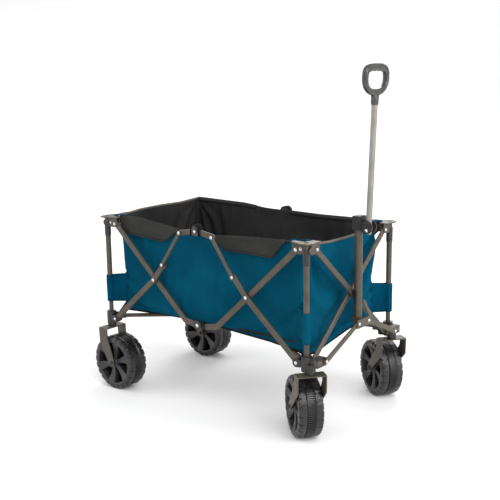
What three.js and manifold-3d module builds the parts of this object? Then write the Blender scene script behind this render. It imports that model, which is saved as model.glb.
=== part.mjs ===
// Folding wagon with a pull handle: steel link frame, fabric bag, four wide wheels and a hinged pull pole.
// Millimetres. +X points to the handle end, +Y to the side named right, +Z up, ground at z = 0.
import * as THREE from 'three';
import { mergeVertices } from 'three/addons/utils/BufferGeometryUtils.js';
import Module from 'manifold-3d';

const wasm = await Module();
wasm.setup();

// ---- driving dimensions -------------------------------------------------------------------------
const POST_X = 440;
const POST_Y = 238;
const SHIFT_X = -19.7;
const SHIFT_Y = -36.5;

const LOWER_TUBE_R = 8;
const UPPER_TUBE_R = 9.5;
const UPPER_BORE_R = 8.25;
const UPPER_BOTTOM = 410;
const LOWER_TOP = 595;
const BRACKET_Z = 627.5;
const BRACKET_T = 3.5;

const HUB_BOTTOM = 225;
const HUB_TOP = 281;
const HUB_R = 17;
const SIDE_PIN = { x: 409, z: 256 };
const END_PIN = { y: 210, z: 250 };
const TOP_SIDE_PIN = { x: 401, z: 606 };
const TOP_END_PIN = { y: 204, z: 607 };
const MID_PIN = { x: 24, z: 303 };
const SIDE_CROSSING = { x: 207.6, z: 428.7 };
const LINK_HINGE = { x: 158, z: 489 };
const RAIL_END = { x: 72, z: 609 };
const RAIL_CENTRE_Z = 621;

const BAR_W = 20;
const LINK_W = 13;
const BAR_A_Y = [228.6, 237.6];
const BAR_B_Y = [238.6, 247.4];
const LINK_Y = [247.9, 253.4];
const BAR_D_X = [434, 443];
const BAR_C_X = [444, 452.8];

const WHEEL_R = 98.3;
const WHEEL_HALF = 40.7;
const AXLE_R = 6;
const WINDOWS = 6;
const WINDOW_START = 10;
const FORK_INNER = 43;
const FORK_T = 3.5;
const FORK_TOP = 224.6;
const FORK_PLATE_HALF = 21;
const REAR_TRAIL = 38;
const SWIVEL_AHEAD = 15;
const SWIVEL_TOP = 250;
const CASTERS = { fl: { trail: 76, turn: 141.4 }, fr: { trail: 76, turn: 147.1 } };

const BAG_X = 404.6;
const BAG_Y = 203;
const BAG_T = 4;
const BAG_BOTTOM = 300;
const BAG_TOP = 628;
const END_SAG = 24;
const FLOOR_T = 8;

const MAST_X = 470;
const MAST_R = 13;
const MAST_BOTTOM = 336;
const MAST_TOP = 640;
const FOOT_PIN = { y: 28, z: 342 };
const STRUT_HUB = { y: 205, z: 263 };
const STRUT_X = [484.6, 491.4];
const BRACE_X = [475.5, 482];
const BRACE_TOP = { y: 15, z: 412 };
const BRACE_END = { y: 77, z: 320 };
const COLLAR_Z = [402, 444];

const PIVOT = { x: 506, z: 641 };
const POLE_LEAN = 2.3;
const POLE_R = 9.5;
const POLE_BORE_R = 8.2;
const POLE_TOP = 386;
const GRIP_BOTTOM = 416;
const GRIP_TOP = 511;
const GRIP_HALF = 68;

// ---- materials ----------------------------------------------------------------------------------
const finish = (color, roughness, metalness = 0) => new THREE.MeshStandardMaterial({ color, roughness, metalness });
const STEEL = finish(0x6e6458, 0.45, 0.6);
const PLASTIC = finish(0x17181a, 0.5);
const RUBBER = finish(0x2b2c2e, 0.8);
const CANVAS = finish(0x005a78, 0.9);
const LINER = finish(0x3a3b3d, 0.95);

// ---- small geometry helpers ---------------------------------------------------------------------
// Keeps positions only, welds them and drops triangles that the weld closes up.
const weld = (geometry) => {
  const bare = new THREE.BufferGeometry();
  bare.setAttribute('position', geometry.getAttribute('position'));
  if (geometry.index) bare.setIndex(geometry.index);
  const welded = mergeVertices(bare, 1e-4);
  const old = welded.index.array;
  const kept = [];
  for (let i = 0; i < old.length; i += 3) {
    const [a, b, c] = [old[i], old[i + 1], old[i + 2]];
    if (a !== b && b !== c && c !== a) kept.push(a, b, c);
  }
  welded.setIndex(kept);
  return welded;
};

const toSolid = (geometry) => {
  const welded = weld(geometry);
  const mesh = new wasm.Mesh({
    numProp: 3,
    vertProperties: new Float32Array(welded.attributes.position.array),
    triVerts: new Uint32Array(welded.index.array),
  });
  return new wasm.Manifold(mesh);
};

const toGeometry = (solid) => {
  const mesh = solid.getMesh();
  const geometry = new THREE.BufferGeometry();
  geometry.setAttribute('position', new THREE.BufferAttribute(new Float32Array(mesh.vertProperties), 3));
  geometry.setIndex(new THREE.BufferAttribute(new Uint32Array(mesh.triVerts), 1));
  return geometry;
};

const join = (...parts) => toGeometry(parts.map(toSolid).reduce((a, b) => a.add(b)));
const cut = (base, ...tools) => toGeometry(tools.map(toSolid).reduce((a, b) => a.subtract(b), toSolid(base)));

const box = (x0, x1, y0, y1, z0, z1) => {
  const [ax, bx] = [Math.min(x0, x1), Math.max(x0, x1)];
  const [ay, by] = [Math.min(y0, y1), Math.max(y0, y1)];
  const geometry = new THREE.BoxGeometry(bx - ax, by - ay, z1 - z0);
  return geometry.translate((ax + bx) / 2, (ay + by) / 2, (z0 + z1) / 2);
};

const upright = (r, z0, z1, x = 0, y = 0, sides = 24) => {
  const geometry = new THREE.CylinderGeometry(r, r, z1 - z0, sides);
  return geometry.rotateX(Math.PI / 2).translate(x, y, (z0 + z1) / 2);
};

const across = (r, y0, y1, x, z, sides = 24) => {
  const geometry = new THREE.CylinderGeometry(r, r, Math.abs(y1 - y0), sides);
  return geometry.translate(x, (y0 + y1) / 2, z);
};

// A strip that follows a polyline in a plane, with rounded ends and mitred bends, as a closed outline.
const stripShape = (points, width) => {
  const half = width / 2;
  const left = [];
  const right = [];
  const dir = (a, b) => new THREE.Vector2(b[0] - a[0], b[1] - a[1]).normalize();
  const side = (d) => new THREE.Vector2(-d.y, d.x);
  const last = points.length - 1;
  points.forEach((p, i) => {
    const before = dir(points[Math.max(i - 1, 0)], points[Math.max(i, 1)]);
    const after = dir(points[Math.min(i, last - 1)], points[Math.min(i + 1, last)]);
    const mitre = side(before).add(side(after)).normalize();
    const reach = half / mitre.dot(side(before));
    left.push([p[0] + mitre.x * reach, p[1] + mitre.y * reach]);
    right.push([p[0] - mitre.x * reach, p[1] - mitre.y * reach]);
  });
  const cap = (centre, start, turn) => {
    const arc = [];
    for (let k = 1; k < 6; k += 1) {
      const angle = start + (turn * k) / 6;
      arc.push([centre[0] + half * Math.cos(angle), centre[1] + half * Math.sin(angle)]);
    }
    return arc;
  };
  const endAngle = Math.atan2(left[last][1] - points[last][1], left[last][0] - points[last][0]);
  const startAngle = Math.atan2(right[0][1] - points[0][1], right[0][0] - points[0][0]);
  const outline = [
    ...left,
    ...cap(points[last], endAngle, -Math.PI),
    ...right.reverse(),
    ...cap(points[0], startAngle, -Math.PI),
  ];
  return new THREE.Shape(outline.map(([u, v]) => new THREE.Vector2(u, v)));
};

// Extrudes a shape drawn in (x, z) from y0 to y1, with softened edges.
const slabXZ = (shape, y0, y1, edge = 0) => {
  const [a, b] = [Math.min(y0, y1), Math.max(y0, y1)];
  const geometry = new THREE.ExtrudeGeometry(shape, {
    depth: b - a - 2 * edge,
    bevelEnabled: edge > 0,
    bevelThickness: edge,
    bevelSize: edge,
    bevelOffset: -edge,
    bevelSegments: 1,
    curveSegments: 8,
  });
  return geometry.rotateX(Math.PI / 2).translate(0, b - edge, 0);
};

// Extrudes a shape drawn in (y, z) from x0 to x1, with softened edges.
const slabYZ = (shape, x0, x1, edge = 0) => {
  const geometry = slabXZ(shape, x0, x1, edge);
  const swapped = new THREE.Matrix4().set(0, 1, 0, 0, 1, 0, 0, 0, 0, 0, 1, 0, 0, 0, 0, 1);
  return flip(geometry.applyMatrix4(swapped));
};

// Turns every triangle over, which a mirrored solid needs to face outwards again.
const flip = (geometry) => {
  const welded = weld(geometry);
  const index = welded.index.array;
  for (let i = 0; i < index.length; i += 3) {
    [index[i], index[i + 1]] = [index[i + 1], index[i]];
  }
  return welded;
};

const mirrored = (geometry, sx, sy) => {
  const copy = geometry.clone().scale(sx, sy, 1);
  return sx * sy < 0 ? flip(copy) : copy;
};

// ---- assembly -----------------------------------------------------------------------------------
const root = new THREE.Group();
root.name = 'folding_wagon';

const add = (name, geometry, material) => {
  const mesh = new THREE.Mesh(weld(geometry).translate(SHIFT_X, SHIFT_Y, 0), material);
  mesh.geometry.computeVertexNormals();
  mesh.name = name;
  root.add(mesh);
};

// Corners are drawn once for +X +Y and mirrored to their own place.
const CORNERS = { fl: [1, -1], fr: [1, 1], rl: [-1, -1], rr: [-1, 1] };

// ---- wheels and forks ---------------------------------------------------------------------------
const wheelGeometry = () => {
  const profile = [
    [AXLE_R + 0.4, -36], [20, -36], [21, -26], [70, -22], [74, -36], [84, -WHEEL_HALF], [94, -38.5], [WHEEL_R, -27],
  ];
  const back = profile.slice().reverse().map(([r, z]) => [r, -z]);
  const loop = [...profile, ...back, profile[0]];
  const segments = 48;
  const lathe = new THREE.LatheGeometry(loop.map(([r, z]) => new THREE.Vector2(r, z)), segments);
  const position = lathe.getAttribute('position');
  for (let i = 0; i < position.count; i += 1) {
    const [x, z] = [position.getX(i), position.getZ(i)];
    const radius = Math.hypot(x, z);
    const step = Math.round(((Math.atan2(z, x) + Math.PI) / (2 * Math.PI)) * segments);
    if (radius > 92 && step % 2 === 1) {
      position.setX(i, x * (1 - 3.2 / radius));
      position.setZ(i, z * (1 - 3.2 / radius));
    }
  }
  const windows = [];
  for (let k = 0; k < WINDOWS; k += 1) {
    const middle = ((WINDOW_START + (360 / WINDOWS) * k) * Math.PI) / 180;
    const outline = [[28, -0.24], [28, 0.24], [66, 0.29], [68, 0], [66, -0.29]];
    const shape = new THREE.Shape(outline.map(([r, a]) => new THREE.Vector2(
      r * Math.cos(middle + a),
      r * Math.sin(middle + a),
    )));
    windows.push(slabXZ(shape, -60, 60));
  }
  return cut(lathe, ...windows);
};

// A fork in its own frame: swivel axis at the origin, wheel centre at +X by the trail.
const forkGeometry = (trail, stemTop) => {
  const armShape = () => {
    const shape = new THREE.Shape();
    shape.moveTo(-FORK_PLATE_HALF, FORK_TOP);
    shape.lineTo(FORK_PLATE_HALF, FORK_TOP);
    shape.lineTo(FORK_PLATE_HALF + 1, 192);
    shape.lineTo(trail + 13, WHEEL_R + 9);
    shape.absarc(trail, WHEEL_R, 14, 0.5, Math.PI + 0.1, true);
    shape.lineTo(-FORK_PLATE_HALF + 3, 168);
    shape.closePath();
    return shape;
  };
  const plate = box(-FORK_PLATE_HALF, FORK_PLATE_HALF, -FORK_INNER - FORK_T, FORK_INNER + FORK_T,
    FORK_TOP - FORK_T, FORK_TOP);
  const seat = upright(15, FORK_TOP - FORK_T, FORK_TOP);
  const stem = upright(LOWER_TUBE_R, FORK_TOP - 1, stemTop);
  const arms = [-1, 1].map((s) => slabXZ(armShape(), s * FORK_INNER, s * (FORK_INNER + FORK_T)));
  const axle = across(AXLE_R, -FORK_INNER - 0.5, FORK_INNER + 0.5, trail, WHEEL_R);
  const nuts = [-1, 1].map((s) => {
    const y = s * (FORK_INNER + FORK_T);
    return across(8, y - s, y + s * 4, trail, WHEEL_R, 6);
  });
  return join(plate, seat, stem, ...arms, axle, ...nuts);
};

const addWheels = () => {
  const wheel = wheelGeometry();
  for (const [key, [, sy]] of Object.entries(CORNERS)) {
    const caster = CASTERS[key];
    const trail = caster ? caster.trail : REAR_TRAIL;
    const turn = ((caster ? caster.turn : 0) * Math.PI) / 180;
    const swivelX = caster ? POST_X + SWIVEL_AHEAD : -POST_X;
    const place = (g) => g.rotateZ(turn).translate(swivelX, sy * POST_Y, 0);
    add(`fork_${key}`, place(forkGeometry(trail, caster ? SWIVEL_TOP : FORK_TOP + 36)), STEEL);
    add(`wheel_${key}`, place(wheel.clone().translate(trail, 0, WHEEL_R)), RUBBER);
  }
};

// ---- corners ------------------------------------------------------------------------------------
const diagonalTurn = Math.atan2(POST_Y, POST_X);
const STAY_LENGTH = 443;
const STAY_START = 37;
const STAY_END_GAP = 29;
const STAY_RISE = 3;

const hubGeometry = (front) => {
  const barrel = upright(HUB_R, HUB_BOTTOM + 8, HUB_TOP, POST_X, POST_Y);
  const swivelX = front ? POST_X + SWIVEL_AHEAD : POST_X;
  const neck = upright(HUB_R - 2, HUB_BOTTOM, HUB_BOTTOM + 9, swivelX, POST_Y);
  const sideTongue = slabXZ(
    stripShape([[SIDE_PIN.x, SIDE_PIN.z], [POST_X - 12, SIDE_PIN.z]], 25),
    BAR_A_Y[0],
    BAR_A_Y[1],
  );
  const endTongue = slabYZ(
    stripShape([[END_PIN.y, END_PIN.z], [POST_Y - 8, END_PIN.z]], 24),
    424.5,
    BAR_D_X[0] - 0.5,
  );
  const ear = box(12, 52, 7.4, 11.5, 252, 275).rotateZ(Math.PI + diagonalTurn).translate(POST_X, POST_Y, 0);
  const pieces = [barrel, neck, sideTongue, endTongue, ear];
  if (front) {
    pieces.push(upright(HUB_R - 1, HUB_BOTTOM + 8, SWIVEL_TOP + 8, swivelX, POST_Y));
    pieces.push(box(POST_X, 470, 224.5, 244, 248, 275));
    pieces.push(box(458, STRUT_X[0] - 0.4, 196, 243, 250, 275));
  }
  const boreBottom = front ? SWIVEL_TOP + 6 : HUB_BOTTOM - 5;
  const bore = upright(LOWER_TUBE_R + 0.3, boreBottom, HUB_TOP + 5, POST_X, POST_Y);
  const socket = upright(LOWER_TUBE_R + 0.3, HUB_BOTTOM - 5, SWIVEL_TOP + 1, swivelX, POST_Y);
  // Room for the free lower ends of the end bars, which swing past the barrel half way through a fold.
  const relief = box(433.6, 453.4, 215, 223.8, HUB_BOTTOM + 9, HUB_TOP + 5);
  return cut(join(...pieces), bore, socket, relief);
};

const lowerPostGeometry = () => upright(LOWER_TUBE_R, HUB_BOTTOM + 37, LOWER_TOP, POST_X, POST_Y);

// Outer telescoping tube with the folded steel bracket welded to its top.
const upperPostGeometry = (outerBar) => {
  const top = BRACKET_Z + BRACKET_T;
  const plateOutline = [
    [386, 224.8], [416, 224.8], [430.2, 212], [430.2, 190], [458, 190], [464, 236],
    [457, 255], [438, 262], [386, 242],
  ];
  const plate = new THREE.ExtrudeGeometry(
    new THREE.Shape(plateOutline.map(([x, y]) => new THREE.Vector2(x, y))),
    { depth: BRACKET_T, bevelEnabled: false },
  ).translate(0, 0, BRACKET_Z);
  const sideFlange = (y0, y1, x1) => slabXZ(
    stripShape([[TOP_SIDE_PIN.x, TOP_SIDE_PIN.z], [x1, TOP_SIDE_PIN.z]], 24),
    y0,
    y1,
  );
  const sideTab = (y0, y1) => box(389, 430, y0, y1, TOP_SIDE_PIN.z, BRACKET_Z + 1);
  const endX = outerBar ? [BAR_C_X[1] + 0.4, BAR_C_X[1] + 3.4] : [BAR_D_X[1] + 0.4, BAR_D_X[1] + 3.4];
  const endFlange = (x0, x1) => slabYZ(
    stripShape([[TOP_END_PIN.y, TOP_END_PIN.z], [POST_Y - 6, TOP_END_PIN.z]], 24),
    x0,
    x1,
  );
  const endTab = (x0, x1) => box(x0, x1, 192, 232, TOP_END_PIN.z, BRACKET_Z + 1);
  const tube = upright(UPPER_TUBE_R, UPPER_BOTTOM, BRACKET_Z + 1, POST_X, POST_Y);
  const bore = upright(UPPER_BORE_R, UPPER_BOTTOM - 5, top + 5, POST_X, POST_Y);
  const solid = join(
    plate,
    tube,
    sideFlange(224.8, 228.2, POST_X - 6),
    sideTab(224.8, 228.2),
    box(426, 436, 224.8, 233, 594, BRACKET_Z + 1),
    sideFlange(238.1, 241.4, POST_X - 6),
    sideTab(238.1, 241.4),
    endFlange(430.2, 433.5),
    endTab(430.2, 433.5),
    endFlange(...endX),
    endTab(...endX),
  );
  return cut(solid, bore);
};

const addCorners = () => {
  for (const [key, [sx, sy]] of Object.entries(CORNERS)) {
    const outerBar = key === 'fl' || key === 'rl';
    add(`hub_${key}`, mirrored(hubGeometry(sx > 0), sx, sy), PLASTIC);
    add(`post_lower_${key}`, mirrored(lowerPostGeometry(), sx, sy), STEEL);
    add(`post_upper_${key}`, mirrored(upperPostGeometry(outerBar), sx, sy), STEEL);
  }
};

// ---- side links ---------------------------------------------------------------------------------
const addSideLinks = () => {
  const barA = slabXZ(stripShape([
    [TOP_SIDE_PIN.x, TOP_SIDE_PIN.z],
    [SIDE_CROSSING.x, SIDE_CROSSING.z],
    [72, 307],
    [MID_PIN.x + 1, 299],
  ], BAR_W), BAR_A_Y[0], BAR_A_Y[1], 2.4);
  const barB = slabXZ(stripShape([
    [SIDE_PIN.x, SIDE_PIN.z],
    [SIDE_CROSSING.x, SIDE_CROSSING.z],
    [LINK_HINGE.x, LINK_HINGE.z],
  ], BAR_W), BAR_B_Y[0], BAR_B_Y[1], 2.4);
  const link = slabXZ(stripShape([
    [LINK_HINGE.x, LINK_HINGE.z],
    [RAIL_END.x, RAIL_END.z],
  ], LINK_W), LINK_Y[0], LINK_Y[1], 1.2);
  for (const [key, [sx, sy]] of Object.entries(CORNERS)) {
    add(`bar_long_${key}`, mirrored(barA, sx, sy), STEEL);
    add(`bar_short_${key}`, mirrored(barB, sx, sy), STEEL);
    add(`link_${key}`, mirrored(link, sx, sy), STEEL);
  }
  const rail = join(
    slabXZ(stripShape([
      [-RAIL_END.x, RAIL_END.z],
      [0, RAIL_CENTRE_Z],
      [RAIL_END.x, RAIL_END.z],
    ], 19), BAR_B_Y[0], BAR_B_Y[1], 2.4),
    box(-14, 14, 232, 252, 608, 628),
    across(14, 232, 252, 0, 628),
  );
  const block = join(
    across(16.5, BAR_B_Y[0], 252, 0, MID_PIN.z),
    box(-21, 21, BAR_B_Y[0], 244, MID_PIN.z - 11, MID_PIN.z + 9),
  );
  for (const [key, sy] of [['left', -1], ['right', 1]]) {
    add(`top_rail_${key}`, mirrored(rail, 1, sy), STEEL);
    add(`mid_block_${key}`, mirrored(block, 1, sy), PLASTIC);
  }
};

// ---- end cross bars -----------------------------------------------------------------------------
// Each bar hangs from a top bracket pin and stops just short of the opposite hub's pin.
const endBar = (hangY, layer) => {
  const run = new THREE.Vector2(-Math.sign(hangY) * (END_PIN.y + TOP_END_PIN.y), END_PIN.z - TOP_END_PIN.z);
  const stop = run.clone().setLength(run.length() - 12);
  return slabYZ(
    stripShape([[hangY, TOP_END_PIN.z], [hangY + stop.x, TOP_END_PIN.z + stop.y]], BAR_W - 1),
    layer[0],
    layer[1],
    2.4,
  );
};

const addEndBars = () => {
  for (const [key, sx] of [['front', 1], ['rear', -1]]) {
    add(`cross_outer_${key}`, mirrored(endBar(-TOP_END_PIN.y, BAR_C_X), sx, 1), STEEL);
    add(`cross_inner_${key}`, mirrored(endBar(TOP_END_PIN.y, BAR_D_X), sx, 1), STEEL);
  }
};

// ---- mast, latch and pull pole ------------------------------------------------------------------
const addMast = () => {
  add('mast', join(
    upright(MAST_R, MAST_BOTTOM, MAST_TOP, MAST_X, 0, 36),
    box(MAST_X - MAST_R, 493, -14, 14, 340, 356),
    box(491.9, 495.2, -40, 40, 328, 356),
  ), STEEL);
  const ring = upright(16.4, COLLAR_Z[0], COLLAR_Z[1], MAST_X, 0);
  const ears = box(462, 473.4, -17.5, 17.5, COLLAR_Z[0], 424);
  const front = box(473.5, 500, -30, 30, COLLAR_Z[0] - 5, COLLAR_Z[1] + 5);
  const clear = upright(MAST_R + 0.35, COLLAR_Z[0] - 5, COLLAR_Z[1] + 5, MAST_X, 0, 36);
  add('mast_collar', cut(join(ring, ears), clear, front), PLASTIC);
  for (const [key, sy] of [['left', -1], ['right', 1]]) {
    const strut = slabYZ(stripShape([[FOOT_PIN.y, FOOT_PIN.z], [STRUT_HUB.y, STRUT_HUB.z]], 17),
      STRUT_X[0], STRUT_X[1], 1.8);
    add(`foot_strut_${key}`, mirrored(strut, 1, sy), STEEL);
  }
  add('brace_right', slabYZ(stripShape([
    [BRACE_TOP.y + 5.8, BRACE_TOP.z - 8.7],
    [BRACE_END.y, BRACE_END.z],
  ], 14), BRACE_X[0], BRACE_X[1], 1.5), STEEL);
  const cheekShape = stripShape([[PIVOT.x - 1, 652], [PIVOT.x + 1, 652]], 42);
  add('handle_latch', join(
    box(456, 489, -17, 17, MAST_TOP + 0.3, 681),
    across(4, -17, 17, 460, 681),
    box(460, 485, -17, 17, 680, 685),
    slabXZ(cheekShape, 10.5, 14.8),
    slabXZ(cheekShape, -10.5, -14.8),
  ), PLASTIC);
};

const addPole = () => {
  const place = (g) => g.rotateY((POLE_LEAN * Math.PI) / 180).translate(PIVOT.x, 0, PIVOT.z);
  add('pole_outer', place(cut(
    join(upright(POLE_R, -12, POLE_TOP, 0, 0, 32)),
    upright(POLE_BORE_R, 20, POLE_TOP + 5, 0, 0, 32),
  )), STEEL);
  add('pole_inner', place(upright(POLE_BORE_R - 0.25, 26, POLE_TOP + 8, 0, 0, 32)), STEEL);
  const shape = new THREE.Shape();
  const middle = (GRIP_BOTTOM + GRIP_TOP) / 2;
  shape.moveTo(-GRIP_HALF + 24, GRIP_TOP);
  shape.lineTo(GRIP_HALF - 24, GRIP_TOP);
  shape.bezierCurveTo(GRIP_HALF - 10, GRIP_TOP, GRIP_HALF, middle + 22, GRIP_HALF, middle + 4);
  shape.bezierCurveTo(GRIP_HALF, middle - 24, 42, GRIP_BOTTOM + 6, 13, GRIP_BOTTOM - 3);
  shape.lineTo(-13, GRIP_BOTTOM - 3);
  shape.bezierCurveTo(-42, GRIP_BOTTOM + 6, -GRIP_HALF, middle - 24, -GRIP_HALF, middle + 4);
  shape.bezierCurveTo(-GRIP_HALF, middle + 22, -GRIP_HALF + 10, GRIP_TOP, -GRIP_HALF + 24, GRIP_TOP);
  const hole = new THREE.Shape();
  hole.moveTo(-40, GRIP_TOP - 26);
  for (let k = 0; k < 4; k += 1) {
    const y = -40 + 20 * k;
    hole.quadraticCurveTo(y + 10, GRIP_TOP - 19, y + 20, GRIP_TOP - 26);
  }
  hole.bezierCurveTo(50, GRIP_TOP - 33, 54, middle + 8, 53, middle - 4);
  hole.bezierCurveTo(50, middle - 18, 30, GRIP_BOTTOM + 20, 0, GRIP_BOTTOM + 19);
  hole.bezierCurveTo(-30, GRIP_BOTTOM + 20, -50, middle - 18, -53, middle - 4);
  hole.bezierCurveTo(-54, middle + 8, -50, GRIP_TOP - 33, -40, GRIP_TOP - 26);
  const neck = new THREE.CylinderGeometry(13, 11.2, GRIP_BOTTOM + 12 - POLE_TOP - 0.4, 24)
    .rotateX(Math.PI / 2)
    .translate(0, 0, (GRIP_BOTTOM + 12 + POLE_TOP + 0.4) / 2);
  add('grip', place(cut(
    join(slabYZ(shape, -9.5, 9.5, 4), neck),
    slabYZ(hole, -20, 20),
    upright(POLE_BORE_R, POLE_TOP - 5, POLE_TOP + 8.6, 0, 0, 32),
  )), PLASTIC);
};

// ---- bag and floor ------------------------------------------------------------------------------
const addBag = () => {
  for (const [key, sy] of [['left', -1], ['right', 1]]) {
    add(`bag_side_${key}`, box(-BAG_X, BAG_X, sy * BAG_Y, sy * (BAG_Y + BAG_T), BAG_BOTTOM, BAG_TOP), CANVAS);
    add(`floor_${key}`, box(-BAG_X + 0.4, BAG_X - 0.4, sy * 0.3, sy * (BAG_Y - 0.4), BAG_BOTTOM,
      BAG_BOTTOM + FLOOR_T), LINER);
  }
  const half = BAG_Y + BAG_T;
  const shape = new THREE.Shape();
  shape.moveTo(-half, BAG_BOTTOM);
  shape.lineTo(half, BAG_BOTTOM);
  shape.lineTo(half, BAG_TOP);
  shape.quadraticCurveTo(half / 2, BAG_TOP - END_SAG, 0, BAG_TOP - END_SAG);
  shape.quadraticCurveTo(-half / 2, BAG_TOP - END_SAG, -half, BAG_TOP);
  const end = slabYZ(shape, BAG_X + 0.4, BAG_X + 0.4 + BAG_T);
  add('bag_front', mirrored(end, 1, 1), CANVAS);
  add('bag_rear', mirrored(end, -1, 1), CANVAS);
};

const addFloorDiagonals = () => {
  const length = STAY_LENGTH - STAY_START - STAY_END_GAP;
  const tube = new THREE.CylinderGeometry(7, 7, length, 20)
    .rotateZ(Math.PI / 2)
    .translate(STAY_START + length / 2, 0, 0)
    .rotateY((-STAY_RISE * Math.PI) / 180);
  for (const [key, [sx, sy]] of Object.entries(CORNERS)) {
    const placed = tube.clone().rotateZ(Math.PI + diagonalTurn).translate(POST_X, POST_Y, 262);
    add(`floor_stay_${key}`, mirrored(placed, sx, sy), STEEL);
  }
};

addWheels();
addCorners();
addSideLinks();
addEndBars();
addMast();
addPole();
addBag();
addFloorDiagonals();

export default root;
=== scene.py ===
"""Looks of a folding wagon: fabric bag, painted link frame, moulded wheels, hubs and grip, and fittings."""
import math

import bmesh
import bpy
import numpy as np
from mathutils import Matrix, Vector, noise


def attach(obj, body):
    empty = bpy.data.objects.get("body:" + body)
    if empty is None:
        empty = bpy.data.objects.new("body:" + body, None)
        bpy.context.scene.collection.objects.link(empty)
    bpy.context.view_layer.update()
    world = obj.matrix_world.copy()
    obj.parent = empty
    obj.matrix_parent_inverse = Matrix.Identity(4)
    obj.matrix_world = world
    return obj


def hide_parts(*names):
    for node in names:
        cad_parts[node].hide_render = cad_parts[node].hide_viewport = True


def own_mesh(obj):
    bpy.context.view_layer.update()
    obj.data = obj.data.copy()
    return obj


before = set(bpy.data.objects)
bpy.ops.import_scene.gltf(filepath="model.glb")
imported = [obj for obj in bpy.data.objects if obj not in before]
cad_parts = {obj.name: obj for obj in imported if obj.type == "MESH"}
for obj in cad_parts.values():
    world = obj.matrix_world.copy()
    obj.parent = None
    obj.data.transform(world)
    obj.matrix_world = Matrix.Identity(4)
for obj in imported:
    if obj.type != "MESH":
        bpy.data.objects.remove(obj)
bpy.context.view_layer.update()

# ---- the frame of the CAD part: millimetres about the wagon's middle, moved to the row frame in metres ----
SHIFT = np.array([-19.7, -36.5, 0.0])
POST_X, POST_Y = 440.0, 238.0
BAG_X, BAG_Y = 406.0, 205.0
WHEEL_R = 98.3
SWIVEL_X = 455.0
CASTER_TRAIL = 76.0
LEAN = math.radians(2.3)
PIVOT = (506.0, 0.0, 641.0)
CORNERS = {"fl": (1, -1), "fr": (1, 1), "rl": (-1, -1), "rr": (-1, 1)}


def row(points):
    """Wagon millimetres to row metres."""
    return (np.asarray(points, float).reshape(-1, 3) + SHIFT) / 1000.0


# ---- materials ----
def new_material(name):
    mat = bpy.data.materials.new(name)
    mat.use_nodes = True
    tree = mat.node_tree
    bsdf = tree.nodes["Principled BSDF"]
    return mat, tree, bsdf


def node(tree, kind, **values):
    made = tree.nodes.new(kind)
    for key, value in values.items():
        if key in made.inputs:
            made.inputs[key].default_value = value
        else:
            setattr(made, key, value)
    return made


def mottle(tree, scale, dark, light, detail=4.0):
    """A noise that runs between two colours, in object coordinates."""
    coords = node(tree, "ShaderNodeTexCoord")
    tex = node(tree, "ShaderNodeTexNoise", Scale=scale, Detail=detail)
    ramp = node(tree, "ShaderNodeValToRGB")
    ramp.color_ramp.elements[0].position = 0.35
    ramp.color_ramp.elements[0].color = (*dark, 1)
    ramp.color_ramp.elements[1].position = 0.65
    ramp.color_ramp.elements[1].color = (*light, 1)
    tree.links.new(coords.outputs["Object"], tex.inputs["Vector"])
    tree.links.new(tex.outputs["Fac"], ramp.inputs["Fac"])
    return coords, tex, ramp


def bump(tree, source, strength, distance, after=None):
    made = node(tree, "ShaderNodeBump", Strength=strength, Distance=distance)
    tree.links.new(source, made.inputs["Height"])
    if after:
        tree.links.new(after.outputs["Normal"], made.inputs["Normal"])
    return made


def painted_metal(name, dark, light, rough=0.38, metal=0.55):
    """Powder-coated steel: faint orange peel, flake and wear towards the paint's lighter tone."""
    mat, tree, bsdf = new_material(name)
    coords, tex, ramp = mottle(tree, 22.0, dark, light)
    tree.links.new(ramp.outputs["Color"], bsdf.inputs["Base Color"])
    bsdf.inputs["Metallic"].default_value = metal
    bsdf.inputs["Coat Weight"].default_value = 0.08
    bsdf.inputs["Specular IOR Level"].default_value = 0.3
    bsdf.inputs["Coat Roughness"].default_value = 0.25
    fine = node(tree, "ShaderNodeTexNoise", Scale=900.0, Detail=3.0)
    tree.links.new(coords.outputs["Object"], fine.inputs["Vector"])
    spread = node(tree, "ShaderNodeMapRange")
    spread.inputs["To Min"].default_value = rough - 0.08
    spread.inputs["To Max"].default_value = rough + 0.1
    tree.links.new(fine.outputs["Fac"], spread.inputs["Value"])
    tree.links.new(spread.outputs["Result"], bsdf.inputs["Roughness"])
    peel = bump(tree, fine.outputs["Fac"], 0.25, 0.0003)
    tree.links.new(peel.outputs["Normal"], bsdf.inputs["Normal"])
    return mat


def moulded(name, dark, light, rough=0.5, grain=1400.0, strength=0.35):
    """Moulded plastic or rubber with a fine leather-like grain."""
    mat, tree, bsdf = new_material(name)
    coords, tex, ramp = mottle(tree, 30.0, dark, light)
    tree.links.new(ramp.outputs["Color"], bsdf.inputs["Base Color"])
    bsdf.inputs["Roughness"].default_value = rough
    cells = node(tree, "ShaderNodeTexVoronoi", Scale=grain)
    tree.links.new(coords.outputs["Object"], cells.inputs["Vector"])
    skin = bump(tree, cells.outputs["Distance"], strength, 0.0003)
    tree.links.new(skin.outputs["Normal"], bsdf.inputs["Normal"])
    return mat


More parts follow.
